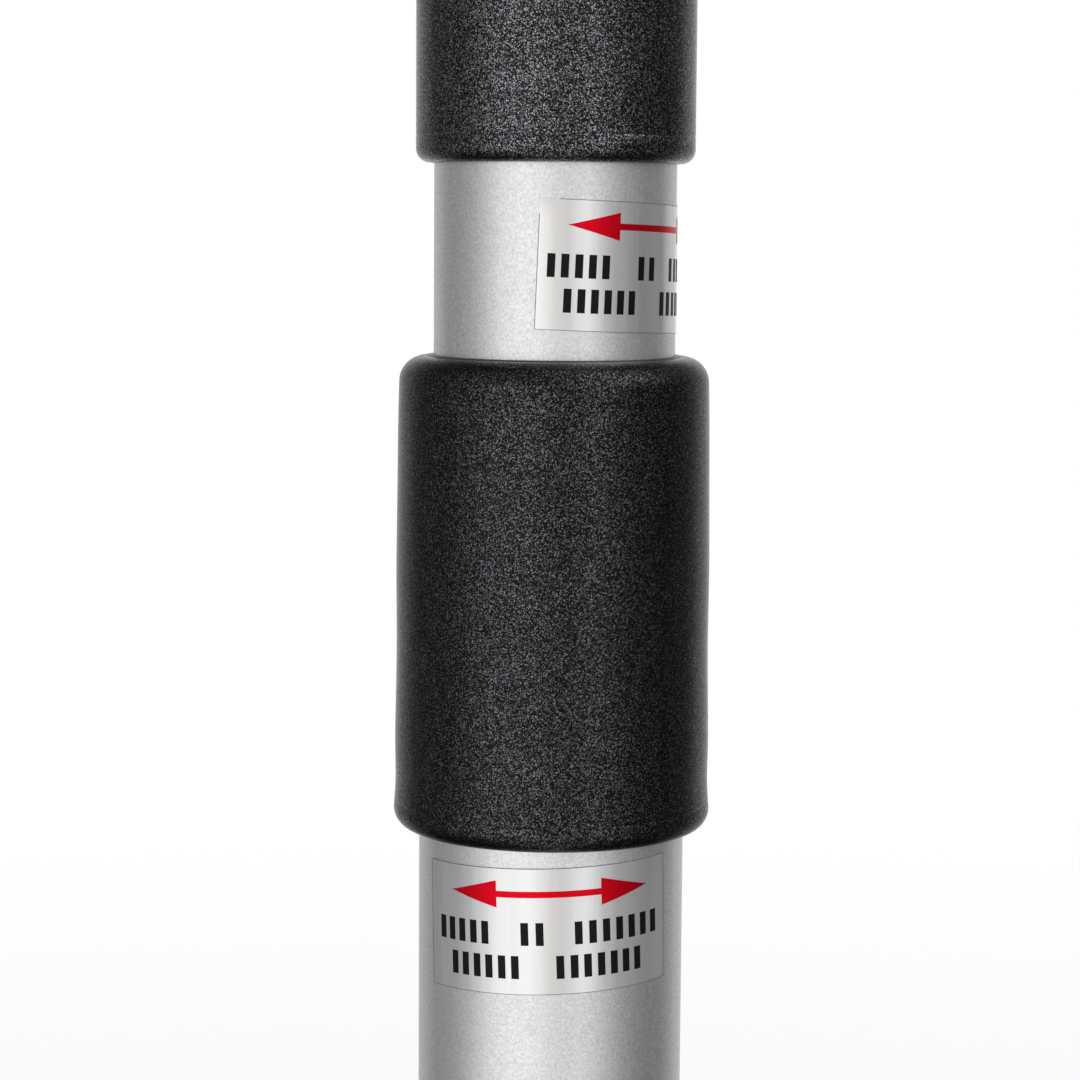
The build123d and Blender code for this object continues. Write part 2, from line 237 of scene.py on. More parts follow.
def grip_material(name="grip_black_rubber", fleck=0.138, rough=0.24, level=0.12, tint=(1.0, 0.97, 1.04)):
    """Moulded black rubber: a fine, even spark-eroded grain whose crests glint, with a few dust specks."""
    m = Mat(name)
    near = m.noise(9000.0, 1.0, 0.5)
    warp = m.node("ShaderNodeVectorMath", operation="ADD")
    comb = m.node("ShaderNodeCombineXYZ")
    off = m.math("MULTIPLY", m.math("SUBTRACT", near, 0.5), 0.00008)
    for k in range(3):
        m.link(off, comb.inputs[k])
    m.link(m.coord, warp.inputs[0])
    m.link(comb.outputs[0], warp.inputs[1])
    rand = m.node("ShaderNodeSeparateColor")
    m.link(m.voronoi(9600.0, warp.outputs[0], out="Color"), rand.inputs[0])
    dome = m.voronoi(9600.0, warp.outputs[0], feature="SMOOTH_F1")
    fine = m.noise(3600.0, 2.0, 0.6)
    cloud = m.noise(60.0, 3.0, 0.55)
    crest = m.math("ADD", m.math("MULTIPLY", rand.outputs[0], 0.80), m.remap(fine, 0.3, 0.7, 0.0, 0.20))
    glint = m.remap(crest, 0.60, 0.77, 0.0, 1.0)
    glint = m.math("MULTIPLY", glint, m.remap(cloud, 0.3, 0.7, 0.92, 1.0))
    speck = m.remap(m.voronoi(310.0), 0.022, 0.040, 1.0, 0.0)
    pit = tuple(0.0016 * c for c in tint)
    crown = m.mix(m.math("POWER", rand.outputs[1], 1.4), tuple(0.35 * fleck * c for c in tint), tuple(2.0 * fleck * c for c in tint))
    tone = m.mix(glint, pit, crown)
    m.color(m.mix(m.math("MULTIPLY", speck, 0.8), tone, (0.20, 0.19, 0.19)))
    m.link(m.remap(glint, 0.0, 0.06, 0.0, 1.0), m.bsdf.inputs["Metallic"])
    r = m.remap(fine, 0.3, 0.7, rough + 0.05, rough - 0.03)
    r = m.math("ADD", r, m.remap(cloud, 0.3, 0.7, -0.02, 0.02))
    m.rough(r)
    m.set(IOR=1.5, Specular_IOR_Level=level)
    h = m.math("ADD", m.math("MULTIPLY", dome, -1.0), m.math("MULTIPLY", fine, 0.6))
    m.normal(m.bump(h, 0.40, 0.00003))
    return m.mat


def rubber_material(name, base=(0.012, 0.012, 0.012), rough=0.62):
    m = Mat(name)
    fine = m.noise(5200.0, 2.0, 0.6)
    cloud = m.noise(120.0, 3.0, 0.5)
    scuff = m.noise(420.0, 4.0, 0.65, m.mapping(m.coord, (1.0, 1.0, 0.35)))
    tone = m.mix(m.remap(cloud, 0.3, 0.7, 0.0, 1.0), base, tuple(c * 1.5 for c in base))
    tone = m.mix(m.remap(scuff, 0.62, 0.8, 0.0, 0.5), tone, (0.05, 0.049, 0.047))
    m.color(tone)
    m.rough(m.remap(cloud, 0.3, 0.7, rough - 0.06, rough + 0.06))
    m.normal(m.bump(m.math("ADD", fine, m.math("MULTIPLY", scuff, 0.5)), 0.4, 0.00004))
    return m.mat


def foil_material(name="label_foil"):
    """Glossy metallised film: drawn along the pole, very slightly rippled by the adhesive."""
    m = Mat(name)
    flat = m.around()
    streak = m.noise(260.0, 3.0, 0.55, m.mapping(flat, (1.0, 1.0, 0.02)))
    fine = m.noise(2400.0, 2.0, 0.5, m.mapping(flat, (1.0, 1.0, 0.04)))
    grain = m.noise(3800.0, 2.0, 0.6)
    ripple = m.noise(240.0, 2.0, 0.5)
    hair = m.noise(620.0, 1.0, 0.5, m.mapping(flat, (1.0, 1.0, 0.004)))
    tone = m.mix(m.remap(streak, 0.36, 0.64, 0.0, 1.0), (0.81, 0.813, 0.817), (0.885, 0.885, 0.88))
    tone = m.mix(m.remap(hair, 0.66, 0.72, 0.0, 0.8), tone, (0.93, 0.925, 0.90))
    tone = m.mix(m.remap(grain, 0.55, 0.8, 0.0, 0.2), tone, (0.66, 0.66, 0.67))
    m.color(tone)
    m.set(Metallic=0.80)
    m.rough(m.remap(streak, 0.3, 0.7, 0.20, 0.27))
    n1 = m.bump(streak, 0.22, 0.00005)
    n2 = m.bump(fine, 0.10, 0.00002, n1)
    n3 = m.bump(ripple, 0.08, 0.00005, n2)
    m.normal(n3)
    return m.mat


def ink_material(name, base, metallic, rough, level=0.5):
    m = Mat(name)
    grain = m.noise(5000.0, 2.0, 0.6)
    patch = m.noise(900.0, 3.0, 0.6)
    tone = m.mix(m.remap(grain, 0.3, 0.75, 0.0, 1.0), base, tuple(min(1.0, c * 1.25 + 0.003) for c in base))
    tone = m.mix(m.remap(patch, 0.60, 0.8, 0.0, 0.25), tone, tuple(c * 0.7 for c in base))
    m.color(tone)
    m.set(Metallic=metallic)
    m.rough(m.remap(patch, 0.3, 0.7, rough - 0.05, rough + 0.05))
    m.set(Specular_IOR_Level=level)
    m.normal(m.bump(grain, 0.2, 0.00002))
    return m.mat


def turned_material(name, base, rough=0.30, metallic=1.0, pitch=7000.0):
    """Turned metal: fine rings round the axis."""
    m = Mat(name)
    rings = m.noise(pitch, 2.0, 0.5, m.mapping(m.around(), (0.004, 1.0, 1.0)))
    cloud = m.noise(160.0, 3.0, 0.5)
    grain = m.noise(4500.0, 2.0, 0.55)
    tone = m.mix(m.remap(cloud, 0.3, 0.7, 0.0, 1.0), tuple(c * 0.92 for c in base), tuple(min(1.0, c * 1.06) for c in base))
    m.color(tone)
    m.set(Metallic=metallic)
    m.rough(m.remap(m.math("ADD", rings, grain), 0.7, 1.3, rough - 0.05, rough + 0.07))
    m.normal(m.bump(m.math("ADD", rings, m.math("MULTIPLY", grain, 0.3)), 0.15, 0.00003))
    return m.mat


def acetal_material(name="acetal"):
    m = Mat(name)
    rings = m.noise(5200.0, 2.0, 0.5, m.mapping(m.around(), (0.004, 1.0, 1.0)))
    cloud = m.noise(200.0, 3.0, 0.5)
    tone = m.mix(m.remap(cloud, 0.3, 0.7, 0.0, 1.0), (0.70, 0.69, 0.64), (0.78, 0.77, 0.73))
    m.color(tone)
    m.rough(m.remap(rings, 0.3, 0.7, 0.36, 0.46))
    m.set(Subsurface_Weight=0.08)
    m.bsdf.inputs["Subsurface Radius"].default_value = (0.002, 0.002, 0.0018)
    m.normal(m.bump(rings, 0.12, 0.00003))
    return m.mat


MATS = {
    "tube": tube_material(),
    "grip": grip_material(),
    # painted light: a brighter copy of the grip rubber for collars 2 to 4, its flecks about twice as reflective and
    # its sheen stronger, standing in for the stronger light on the upper collars
    "grip_painted_brighter": grip_material("grip_black_rubber_painted_brighter", 0.285, 0.23, 0.18),
    "wiper": rubber_material("wiper_rubber", (0.030, 0.030, 0.031), 0.30),
    "cap": rubber_material("cap_rubber", (0.014, 0.014, 0.0142), 0.66),
    "foil": foil_material(),
    "red": ink_material("print_red", (0.72, 0.0, 0.011), 0.85, 0.34, 0.3),
    "edge": ink_material("label_edge", (0.16, 0.16, 0.165), 0.3, 0.45, 0.4),
    "black": ink_material("print_black", (0.0030, 0.0027, 0.0025), 0.0, 0.42, 0.16),
    "acetal": acetal_material(),
    "turned": turned_material("turned_aluminium", (0.70, 0.70, 0.71), 0.28),
    "steel": turned_material("zinc_steel", (0.60, 0.60, 0.615), 0.30),
    "spring": turned_material("spring_steel", (0.30, 0.30, 0.31), 0.38),
    "anodised": turned_material("black_anodised", (0.020, 0.020, 0.022), 0.38, 0.55),
}


# ---------------------------------------------------------------------------
# mesh helpers
# ---------------------------------------------------------------------------
def arc(cx, cy, r, a0, a1, n):
    """Points on an arc, angles in degrees."""
    return [
        (cx + r * math.cos(math.radians(a0 + (a1 - a0) * k / n)), cy + r * math.sin(math.radians(a0 + (a1 - a0) * k / n)))
        for k in range(n + 1)
    ]


def dense(points, step):
    """Adds points along straight runs, so that a lathe has rows to shade."""
    out = []
    for (r0, z0), (r1, z1) in zip(points, points[1:]):
        d = math.hypot(r1 - r0, z1 - z0)
        n = max(1, int(math.ceil(d / step)))
        out += [(r0 + (r1 - r0) * k / n, z0 + (z1 - z0) * k / n) for k in range(n)]
    out.append(points[-1])
    return out


def finish_mesh(name, verts, faces, mat, body, sharp=32.0):
    me = bpy.data.meshes.new(name)
    me.from_pydata([tuple(c * MM for c in v) for v in verts], [], faces)
    me.validate()
    me.update()
    ob = bpy.data.objects.new(name, me)
    bpy.context.scene.collection.objects.link(ob)
    for p in me.polygons:
        p.use_smooth = True
    if sharp is not None:
        me.set_sharp_from_angle(angle=math.radians(sharp))
    me.materials.append(mat)
    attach(ob, body)
    return ob


def lathe(name, profile, mat, body, seg=160, sharp=32.0, radius=None):
    """A closed solid of revolution. profile is a closed loop of (r, z), counter-clockwise in the r-z plane
    (up the outside, down the bore), or starts and ends on the axis. radius(r, z, angle) may bend it."""
    on_axis = abs(profile[0][0]) < 1e-9
    verts, faces = [], []
    rows = []
    for r, z in profile:
        if r < 1e-9:
            rows.append([len(verts)])
            verts.append((0.0, 0.0, z))
            continue
        row = []
        for k in range(seg):
            a = 2 * math.pi * k / seg
            rr = radius(r, z, a) if radius else r
            row.append(len(verts))
            verts.append((rr * math.sin(a), -rr * math.cos(a), z))
        rows.append(row)
    pairs = list(zip(rows, rows[1:]))
    if not on_axis:
        pairs.append((rows[-1], rows[0]))
    for lo, hi in pairs:
        for k in range(seg):
            k2 = (k + 1) % seg
            if len(lo) == 1 and len(hi) == 1:
                continue
            if len(lo) == 1:
                faces.append((lo[0], hi[k2], hi[k]))
            elif len(hi) == 1:
                faces.append((lo[k], lo[k2], hi[0]))
            else:
                faces.append((lo[k], lo[k2], hi[k2], hi[k]))
    return finish_mesh(name, verts, faces, mat, body, sharp)


# ---------------------------------------------------------------------------
# tubes
# ---------------------------------------------------------------------------
for i in range(5):
    ro, ri, z0, z1 = TUBE_RO[i], TUBE_RI[i], TUBE_LOW[i], TUBE_TOP[i]
    if i == 0:
        outside = [(ri, z0), (ro, z0), (ro, z1 - 0.25), (ro - 0.25, z1)]
    else:
        rt, zs = ro - FOOT_TURN, z0 + FOOT_LAP
        outside = [(ri, z0), (rt, z0), (rt, zs), (ro - 0.12, zs), (ro, zs + 0.12), (ro, z1 - 0.25), (ro - 0.25, z1)]
    loop = outside + [(ri + 0.25, z1), (ri, z1 - 0.25), (ri, z0)]
    pts = dense(loop, 12.0)[:-1]
    ob = lathe(f"tube_{i + 1}_body", pts, MATS["tube"], SECTION[i], seg=192, sharp=30)
    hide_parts(f"tube_{i + 1}")


# ---------------------------------------------------------------------------
# grips and wipers
# ---------------------------------------------------------------------------
GRIP1 = [
    (18.93, 2.20), (18.84, 3.40), (18.74, 5.10), (18.72, 6.60), (18.76, 8.60), (18.78, 10.90),
    (18.73, 14.00), (18.67, 16.90), (18.63, 19.80), (18.61, 23.00), (18.63, 26.00), (18.66, 29.50),
    (18.65, 32.50), (18.61, 36.00), (18.56, 40.50), (18.51, 45.00), (18.46, 49.00), (18.36, 53.10),
]


def smooth_curve(points, per):
    """Catmull-Rom through the points."""
    out = []
    p = [points[0]] + points + [points[-1]]
    for k in range(1, len(p) - 2):
        a, b, c, d = p[k - 1], p[k], p[k + 1], p[k + 2]
        for s in range(per):
            t = s / per
            out.append(tuple(
                0.5 * (2 * b[j] + (c[j] - a[j]) * t + (2 * a[j] - 5 * b[j] + 4 * c[j] - d[j]) * t * t
                       + (3 * b[j] - a[j] - 3 * c[j] + d[j]) * t ** 3)
                for j in (0, 1)
            ))
    out.append(points[-1])
    return out


def seam(points, z, depth=0.05, half=0.10):
    """Presses a fine parting ring into a profile at height z."""
    out = []
    done = False
    for (r0, z0), (r1, z1) in zip(points, points[1:]):
        out.append((r0, z0))
        if not done and z0 <= z - half and z1 > z - half:
            def at(zz):
                t = (zz - z0) / (z1 - z0)
                return r0 + (r1 - r0) * t
            out += [(at(z - half), z - half), (at(z) - depth * 0.85, z - half * 0.35), (at(z) - depth, z),
                    (at(z) - depth * 0.85, z + half * 0.35), (at(z + half), z + half)]
            done = True
    out.append(points[-1])
    clean = [out[0]]
    for q in out[1:]:
        if q[1] > clean[-1][1] + 1e-4 or q[1] < z - half - 1e-6 or q[1] > z + half + 0.3:
            clean.append(q)
    return clean


for i in range(4):
    n = i + 1
    zc = COLLAR_Z[i]
    ro, rt = TUBE_RO[i], TUBE_RO[i + 1]
    r_bore = rt + BORE_CLEAR
    r_mouth = r_bore + 0.57 + 0.05
    r_camo = ro + CAM_OUT[i]
    if i == 0:
        side = smooth_curve(GRIP1, 3)
        low_fillet = arc(18.93 - 1.98, 2.20, 2.0, -92, -2, 12)
        low_fillet = [(18.93 - 1.98 + 1.98 * math.cos(math.radians(a)), 2.20 + 2.20 * math.sin(math.radians(a)))
                      for a in [-90 + 90 * k / 12 for k in range(12)]]
        f = 3.05
        top = arc(18.36 - f, COLLAR_LEN - f, f, 2, 90, 14)
        side = side[:-1] + [(18.36, COLLAR_LEN - f - 0.05)]
    else:
        rg = GRIP_R[i]
        side = dense([(rg, 1.70), (rg, COLLAR_LEN - 2.60)], 1.6)
        low_fillet = arc(rg - 1.70, 1.70, 1.70, -90, -5, 10)
        top = arc(rg - 2.60, COLLAR_LEN - 2.60, 2.60, 4, 90, 12)
    side = seam(side, 3.15, 0.05, 0.12)
    body = low_fillet + side + top
    # flat top with a softened edge at the mouth
    body += [(r_mouth + 0.12, COLLAR_LEN), (r_mouth, COLLAR_LEN - 0.12)]
    r_lip = ro + 0.25
    body += [
        (r_mouth, 53.60), (ro - 0.10, 53.60), (ro - 0.10, 52.20), (r_camo, 52.20), (r_camo, 3.00),
        (r_lip, 3.00), (r_lip, 0.15), (r_lip + 0.15, 0.0),
    ]
    pts = [(r, zc + z) for r, z in body]
    # collars 2 to 4 take the brighter copy of the grip rubber: painted light, not a different rubber
    ob = lathe(f"collar_{n}_grip_sleeve", pts, MATS["grip" if i == 0 else "grip_painted_brighter"], f"collar_{n}", seg=224, sharp=40)
    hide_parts(f"collar_{n}_grip")

    zt = zc + COLLAR_LEN + 0.15
    ow = r_bore + 0.57
    pts = (
        [(r_bore, zc + 52.20), (ro - 0.15, zc + 52.20), (ro - 0.15, zc + 53.60), (ow, zc + 53.60), (ow, zt - 0.20)]
        + arc(ow - 0.20, zt - 0.20, 0.20, 15, 90, 5)
        + arc(r_bore + 0.14, zt - 0.14, 0.14, 90, 165, 4)
    )
    ob = lathe(f"collar_{n}_wiper_ring", pts, MATS["wiper"], f"collar_{n}", seg=192, sharp=40)
    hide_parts(f"collar_{n}_wiper")


# ---------------------------------------------------------------------------
# labels: foil, printed arrow and rows of plain ticks
# ---------------------------------------------------------------------------
def on_tube(i, x, y, r):
    """A point of label i, x to the right and y up from its centre, on the cylinder of radius r."""
    th = math.radians(LABEL_TILT[i])
    a = x * math.cos(th) - y * math.sin(th)
    z = COLLAR_Z[i] - LABEL_DZ[i] + x * math.sin(th) + y * math.cos(th)
    phi = math.radians(LABEL_PHI[i]) + a / TUBE_RO[i]
    return (r * math.sin(phi), -r * math.cos(phi), z)


def shell(name, i, grid, r_in, r_out, mat):
    """A thin closed sheet from a grid of (x, y, lift) points wrapped round the tube."""
    ny, nx = len(grid), len(grid[0])
    verts = [on_tube(i, x, y, r_out + w) for row in grid for x, y, w in row]
    verts += [on_tube(i, x, y, r_in) for row in grid for x, y, w in row]
    base = nx * ny
    faces = []
    for j in range(ny - 1):
        for k in range(nx - 1):
            a, b, c, d = j * nx + k, j * nx + k + 1, (j + 1) * nx + k + 1, (j + 1) * nx + k
            faces.append((a, b, c, d))
            faces.append((base + d, base + c, base + b, base + a))
    rim = [k for k in range(nx)] + [j * nx + nx - 1 for j in range(1, ny)]
    rim += [(ny - 1) * nx + k for k in range(nx - 2, -1, -1)] + [j * nx for j in range(ny - 2, 0, -1)]
    for k in range(len(rim)):
        a, b = rim[k], rim[(k + 1) % len(rim)]
        faces.append((b, a, base + a, base + b))
    return finish_mesh(name, verts, faces, mat, SECTION[i], 40)


def joined(name, i, strips, r_in, r_out, mat):
    """Several thin closed strips as one object. A strip is a list of (x, y_low, y_high)."""
    verts, faces = [], []
    for strip in strips:
        o = len(verts)
        m = len(strip)
        for x, lo, hi in strip:
            verts += [on_tube(i, x, lo, r_out), on_tube(i, x, hi, r_out), on_tube(i, x, lo, r_in), on_tube(i, x, hi, r_in)]
        for k in range(m - 1):
            a, b = o + 4 * k, o + 4 * k + 4
            faces += [(a, b, b + 1, a + 1), (a + 2, a + 3, b + 3, b + 2), (a, a + 2, b + 2, b), (a + 1, b + 1, b + 3, a + 3)]
        a, b = o, o + 4 * (m - 1)
        faces += [(a, a + 1, a + 3, a + 2), (b, b + 2, b + 3, b + 1)]
    return finish_mesh(name, verts, faces, mat, SECTION[i], 40)


ROWS = [
    (-1.62, 1.07, [(-14.60, -6.60, 5), (-3.40, 0.15, 2), (2.95, 14.85, 7)]),
    (-5.58, -2.86, [(-12.60, -2.95, 6), (0.75, 12.15, 7)]),
]

for i in range(4):
    n = i + 1
    r = TUBE_RO[i]
    nx, ny = 130, 60
    grid = []
    for j in range(ny + 1):
        row = []
        for k in range(nx + 1):
            x = -LABEL_W / 2 + LABEL_W * k / nx
            y = -LABEL_H / 2 + LABEL_H * j / ny
            # the film ripples along the pole and lifts a hair at one corner
            w = 0.010 * noise.noise(Vector((x * 0.42 + 11 * n, y * 0.05, n * 3.7)))
            w += 0.005 * noise.noise(Vector((x * 1.3, y * 0.16 + 5 * n, n * 1.9)))
            cx = min(1.0, max(0.0, 1 - (x + LABEL_W / 2) / 3.2))
            cy = min(1.0, max(0.0, 1 - (LABEL_H / 2 - y) / 2.6))
            if n == 2:
                w += 0.16 * (cx * cy) ** 2
            row.append((x, y, w))
        grid.append(row)
    ob = shell(f"label_{n}_film", i, grid, r + 0.004, r + LABEL_T, MATS["foil"])
    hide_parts(f"label_{n}")

    hw, hh_, e = LABEL_W / 2, LABEL_H / 2, 0.075
    xs = [-hw + LABEL_W * k / 60 for k in range(61)]
    rims = [[(x, hh_ - e, hh_) for x in xs], [(x, -hh_, -hh_ + e * 0.8) for x in xs]]
    rims += [[(-hw, -hh_, hh_), (-hw + e, -hh_, hh_)], [(hw - e, -hh_, hh_), (hw, -hh_, hh_)]]
    ob = joined(f"label_{n}_edge", i, rims, r + LABEL_T - 0.03, r + LABEL_T + 0.017, MATS["edge"])

    sx, sy = PRINT_SHIFT[i]
    rp0, rp1 = r + LABEL_T - 0.02, r + LABEL_T + 0.022
    cx, cy = sx, 4.38 + sy
    half, head, hh, sh = 12.45, 6.22, 1.60, 0.37
    xs = [-half + head * k / 14 for k in range(15)]
    left = [(cx + x, cy - hh * (x + half) / head, cy + hh * (x + half) / head) for x in xs]
    left[0] = (cx - half, cy - 0.03, cy + 0.03)
    shaft = [(cx - half + head - 0.05 + (2 * (half - head) + 0.10) * k / 30, cy - sh, cy + sh) for k in range(31)]
    right = [(cx - (x - cx), lo, hi) for x, lo, hi in left][::-1]
    right = [(2 * cx - x, lo, hi) for x, lo, hi in left][::-1]
    ob = joined(f"label_{n}_arrow", i, [left, shaft, right], rp0, rp1, MATS["red"])

    rnd = random.Random(40 + n)
    ticks = []
    for lo, hi, words in ROWS:
        for x0, x1, count in words:
            pitch = (x1 - x0) / count
            for c in range(count):
                xc = x0 + pitch * (c + 0.5) + rnd.uniform(-0.02, 0.02) + sx - 0.44
                w = 0.455
                ticks.append([(xc - w + 2 * w * k / 3, lo + sy, hi + sy) for k in range(4)])
    ob = joined(f"label_{n}_ticks", i, ticks, rp0, rp1, MATS["black"])


# ---------------------------------------------------------------------------
# butt cap
# ---------------------------------------------------------------------------
CAP_R, CAP_TOP, CAP_H = 18.90, 17.60, 32.0


def cap_r(z):
    return CAP_R if z <= 7.0 else CAP_R + (CAP_TOP - CAP_R) * (z - 7.0) / (CAP_H - 7.0)


side = []
z = 2.0
while z <= CAP_H - 1.3:
    r = cap_r(z)
    for g in (11.0, 14.0, 17.0, 20.0):
        d = abs(z - g)
        if d < 0.75:
            r -= 0.35 * math.sqrt(max(0.0, 1 - (d / 0.75) ** 2))
    side.append((r, z))
    z += 0.15
rt = cap_r(CAP_H - 1.2)
pts = (
    [(3.20, 3.20), (7.45, 3.20), (7.60, 3.05), (7.60, 0.35)]
    + arc(7.95, 0.35, 0.35, 180, 270, 5)
    + arc(CAP_R - 2.0, 2.0, 2.0, -90, 0, 12)[:-1]
    + side
    + arc(rt - 1.2, CAP_H - 1.2, 1.2, 5, 90, 8)
    + [(TUBE_RO[0] + 0.15, CAP_H), (TUBE_RO[0], CAP_H - 0.15), (TUBE_RO[0], 5.0), (3.20, 5.0)]
)
ob = lathe("butt_cap_moulding", pts, MATS["cap"], "base", seg=192, sharp=40)
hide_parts("butt_cap")


# ---------------------------------------------------------------------------
# tip: cap with turned grooves, threaded stud, knurled nut
# ---------------------------------------------------------------------------
TIP_R, TIP_H, STUD_R, STUD_OUT = 11.20, 20.0, 4.7625, 19.20
zt = TIP_Z
grooved = []
z = zt + 0.9
while z < zt + TIP_H - 1.05:
    r = TIP_R
    for g in (zt + 12.2, zt + 14.2, zt + 16.2):
        d = abs(z - g)
        if d < 0.45:
            r -= 0.40 * (1 - d / 0.45)
    grooved.append((r, z))
    z += 0.15
pts = (
    [(TUBE_RO[4] + 0.1, zt)] + [(TIP_R - 0.8, zt), (TIP_R - 0.1, zt + 0.7)] + grooved
    + [(TIP_R, zt + TIP_H - 1.0), (TIP_R - 0.08, zt + TIP_H - 0.92), (TIP_R - 0.92, zt + TIP_H - 0.08), (TIP_R - 1.0, zt + TIP_H)]
    + [(STUD_R, zt + TIP_H), (STUD_R, zt - 8.0), (TUBE_RI[4], zt - 8.0), (TUBE_RI[4], TUBE_TOP[4]), (TUBE_RO[4], TUBE_TOP[4]), (TUBE_RO[4], zt + 0.1)]
)
ob = lathe("tip_cap_turned", pts, MATS["anodised"], "section_5", seg=192, sharp=30)
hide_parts("tip_cap")

PITCH = 25.4 / 16
DEPTH = 0.61343 * PITCH


def thread(r, z, a):
    if r < STUD_R - 1e-6 or z < zt + TIP_H - 0.2:
        return r if r < 0.5 else min(r, STUD_R - 0.02)
    t = (z / PITCH - a / (2 * math.pi)) % 1.0
    d = abs(t - 0.5) * 2          # 0 at the crest, 1 at the root
    cut = DEPTH * min(1.0, max(0.0, (d - 0.125) / 0.75))
    top = zt + TIP_H + STUD_OUT
    chamfer = STUD_R - max(0.0, 0.95 - (top - z))
    run = min(1.0, max(0.0, (z - (zt + TIP_H - 0.2)) / 0.6))
    return min(STUD_R - cut * run, chamfer)


ztop = zt + TIP_H + STUD_OUT
rows = [(0.0, zt - 8.0), (STUD_R - 0.3, zt - 8.0), (STUD_R, zt - 7.7), (STUD_R, zt + TIP_H - 0.3)]
k = 0
z = zt + TIP_H - 0.2
while z < ztop - 1e-6:
    rows.append((STUD_R, z))
    z += 0.0992
rows += [(STUD_R, ztop), (2.4, ztop), (0.0, ztop)]
ob = lathe("tip_stud_threaded", rows, MATS["steel"], "section_5", seg=96, sharp=38, radius=thread)
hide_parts("tip_stud")

NUT_R, NUT_H = 11.0, 5.5
zn = zt + TIP_H + 0.8 + 0.05


def knurl(r, z, a):
    if r < NUT_R - 0.75:
        return r
    ridge = 36
    u = (a * ridge / (2 * math.pi)) % 1.0
    v = abs(u - 0.5) * 2          # 1 in the groove, 0 on the ridge
    depth = 0.42 * max(0.0, (v - 0.35) / 0.65) ** 1.2
    return r - depth * min(1.0, (r - (NUT_R - 0.75)) / 0.6)


pts = (
    [(STUD_R + 0.05 + 0.4, zn), (NUT_R - 0.8, zn), (NUT_R - 0.7, zn), (NUT_R - 0.35, zn + 0.35), (NUT_R - 0.02, zn + 0.68)]
    + [(NUT_R - 0.02, zn + 0.68 + (NUT_H - 1.36) * k / 14) for k in range(1, 15)]
    + [(NUT_R - 0.35, zn + NUT_H - 0.35), (NUT_R - 0.7, zn + NUT_H), (NUT_R - 0.8, zn + NUT_H), (NUT_R - 2.2, zn + NUT_H),
       (NUT_R - 2.35, zn + NUT_H - 0.15), (NUT_R - 2.9, zn + NUT_H - 0.15), (NUT_R - 3.05, zn + NUT_H),
       (STUD_R + 0.05 + 0.5, zn + NUT_H), (STUD_R + 0.05, zn + NUT_H - 0.45), (STUD_R + 0.05, zn + 0.4)]
)
ob = lathe("tip_nut_knurled", pts, MATS["anodised"], "tip_nut", seg=432, sharp=30, radius=knurl)
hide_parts("tip_nut")


# ---------------------------------------------------------------------------
# finishes of the CAD nodes that stay
# ---------------------------------------------------------------------------
def finish_of(node):
    if node.startswith("foot_guide") or node.endswith("_collet") or node == "tip_washer":
        return "acetal"
    if node.endswith("_ferrule") or node.endswith("_cam_sleeve") or node == "butt_plug":
        return "turned"
    if node.endswith("_retaining_ring"):
        return "spring"
    if node in ("butt_screw", "tip_pin"):
        return "steel"
    if node == "butt_bumper":
        return "wiper"
    return None


for name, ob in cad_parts.items():
    if ob.hide_render:
        continue
    key = finish_of(name)
    if key is None:
        continue
    if not ob.material_slots:
        ob.data.materials.append(MATS[key])
    for s in ob.material_slots:
        s.material = MATS[key]


# ---------------------------------------------------------------------------
# floor, world and lights
# ---------------------------------------------------------------------------
def stage_floor():
    me = bpy.data.meshes.new("floor")
    seg = 96
    verts = [(0.0, 0.0, 0.0)] + [(2.0 * math.cos(2 * math.pi * k / seg), 2.0 * math.sin(2 * math.pi * k / seg), 0.0) for k in range(seg)]
    me.from_pydata(verts, [], [(0, 1 + k, 1 + (k + 1) % seg) for k in range(seg)])
    ob = bpy.data.objects.new("floor", me)
    bpy.context.scene.collection.objects.link(ob)
    # painted light: the floor glows, its emission rising from 0.52 at the centre to full white at the rim while its
    # own pale colour fades to black, so it melts into the white backdrop
    m = Mat("floor_white")
    grain = m.noise(60.0, 3.0, 0.5)
    sep = m.node("ShaderNodeSeparateXYZ")
    m.link(m.coord, sep.inputs[0])
    far = m.math("SQRT", m.math("ADD", m.math("POWER", sep.outputs[0], 2.0), m.math("POWER", sep.outputs[1], 2.0)))
    fade = m.node("ShaderNodeMapRange", interpolation_type="SMOOTHSTEP")
    m.link(far, fade.inputs["Value"])
    fade.inputs["From Min"].default_value = 0.10
    fade.inputs["From Max"].default_value = 1.90
    pale = m.mix(m.remap(grain, 0.3, 0.7, 0.0, 1.0), (0.66, 0.66, 0.66), (0.69, 0.69, 0.69))
    m.color(m.mix(fade.outputs[0], pale, (0.0, 0.0, 0.0)))
    m.rough(0.9)
    m.set(Emission_Color=(1, 1, 1, 1), Specular_IOR_Level=0.0)
    m.link(m.remap(fade.outputs[0], 0.0, 1.0, 0.52, 1.0), m.bsdf.inputs["Emission Strength"])
    me.materials.append(m.mat)
    ob.location = (0, 0, -0.0002)
    ob.visible_glossy = False
    ob.visible_diffuse = False
    return ob


stage_floor()

# brightness of the surroundings by direction round the pole, from -Y towards +X: every 15 degrees near the
# horizon, every 60 degrees overhead and from below
AZIMUTH = [
    0.78, 0.70, 1.13, 0.58, 0.31, 0.24, 0.14, 0.20, 0.16, 0.60, 0.60, 0.95,
    1.00, 0.85, 0.55, 0.52, 0.17, 0.30, 0.30, 0.44, 0.81, 1.21, 1.15, 1.28,
]
OVERHEAD = [0.42, 1.75, 0.18, 0.12, 0.12, 0.50]
UNDER = [0.80, 0.16, 0.04, 0.04, 0.04, 0.16]
WARM = [0.75, 0.12] + [0.0] * 21 + [0.12]


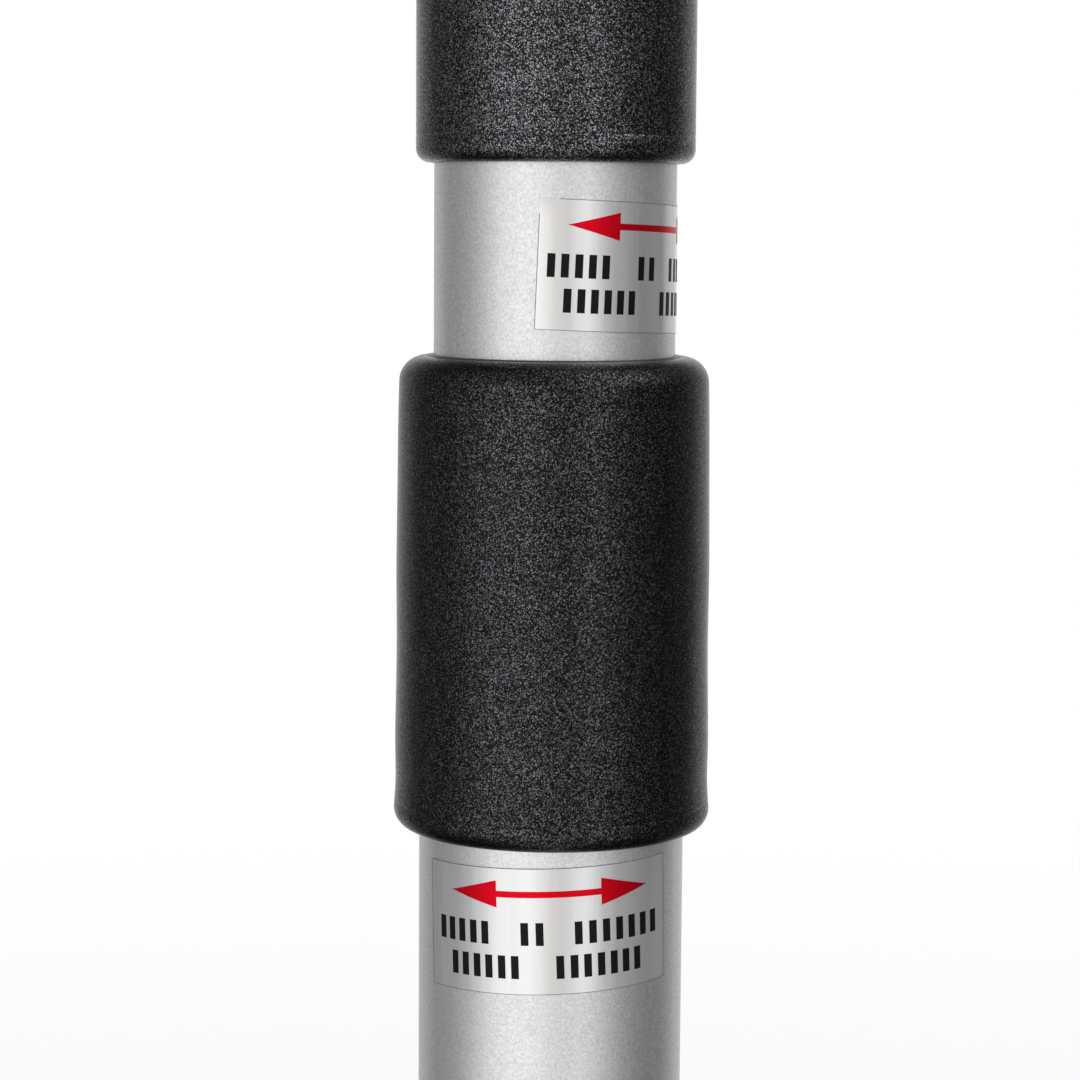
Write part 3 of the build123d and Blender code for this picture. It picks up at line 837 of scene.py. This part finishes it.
def studio_world():
    w = bpy.data.worlds.new("studio")
    bpy.context.scene.world = w
    w.use_nodes = True
    nt = w.node_tree
    nt.nodes.clear()
    out = nt.nodes.new("ShaderNodeOutputWorld")
    mixer = nt.nodes.new("ShaderNodeMixShader")
    seen = nt.nodes.new("ShaderNodeBackground")
    lit = nt.nodes.new("ShaderNodeBackground")
    path = nt.nodes.new("ShaderNodeLightPath")
    seen.inputs["Color"].default_value = (1, 1, 1, 1)
    seen.inputs["Strength"].default_value = 1.0
    tc = nt.nodes.new("ShaderNodeTexCoord")
    sep = nt.nodes.new("ShaderNodeSeparateXYZ")
    nt.links.new(tc.outputs["Generated"], sep.inputs[0])

    def calc(op, a, b=0.0):
        n = nt.nodes.new("ShaderNodeMath")
        n.operation = op
        for i, v in enumerate((a, b)):
            if isinstance(v, (int, float)):
                n.inputs[i].default_value = v
            else:
                nt.links.new(v, n.inputs[i])
        return n.outputs[0]

    ang = calc("ARCTAN2", sep.outputs[0], calc("MULTIPLY", sep.outputs[1], -1.0))
    turn = calc("FRACT", calc("ADD", calc("DIVIDE", ang, 2 * math.pi), 1.0))

    def ring(values):
        ramp = nt.nodes.new("ShaderNodeValToRGB")
        ramp.color_ramp.interpolation = "LINEAR"
        el = ramp.color_ramp.elements
        top = max(values)
        vals = list(values) + [values[0]]
        while len(el) < len(vals):
            el.new(0.5)
        for k, v in enumerate(vals):
            el[k].position = k / (len(vals) - 1)
            el[k].color = (v / top, v / top, v / top, 1)
        nt.links.new(turn, ramp.inputs[0])
        return calc("MULTIPLY", ramp.outputs[0], top)

    def step(lo, hi):
        n = nt.nodes.new("ShaderNodeMapRange")
        n.interpolation_type = "SMOOTHSTEP"
        nt.links.new(sep.outputs[2], n.inputs["Value"])
        n.inputs["From Min"].default_value = math.sin(math.radians(lo))
        n.inputs["From Max"].default_value = math.sin(math.radians(hi))
        return n.outputs[0]

    up = step(8, 42)
    above = step(-48, -20)
    level = calc("MULTIPLY", above, calc("SUBTRACT", 1.0, up))
    total = calc("ADD", calc("MULTIPLY", ring(AZIMUTH), level), calc("MULTIPLY", ring(OVERHEAD), up))
    total = calc("ADD", total, calc("MULTIPLY", calc("SUBTRACT", 1.0, above), ring(UNDER)))
    nt.links.new(total, lit.inputs["Strength"])
    tint = nt.nodes.new("ShaderNodeMix")
    tint.data_type = "RGBA"
    nt.links.new(ring(WARM), tint.inputs[0])
    tint.inputs[6].default_value = (0.985, 0.99, 1.0, 1)
    tint.inputs[7].default_value = (1.0, 0.95, 0.89, 1)
    nt.links.new(tint.outputs[2], lit.inputs["Color"])
    nt.links.new(path.outputs["Is Camera Ray"], mixer.inputs[0])
    nt.links.new(lit.outputs[0], mixer.inputs[1])
    nt.links.new(seen.outputs[0], mixer.inputs[2])
    nt.links.new(mixer.outputs[0], out.inputs["Surface"])
    return w


studio_world()

sc = bpy.context.scene
sc.view_settings.view_transform = "Standard"
sc.view_settings.look = "None"
sc.view_settings.exposure = 0.0
sc.view_settings.gamma = 1.0

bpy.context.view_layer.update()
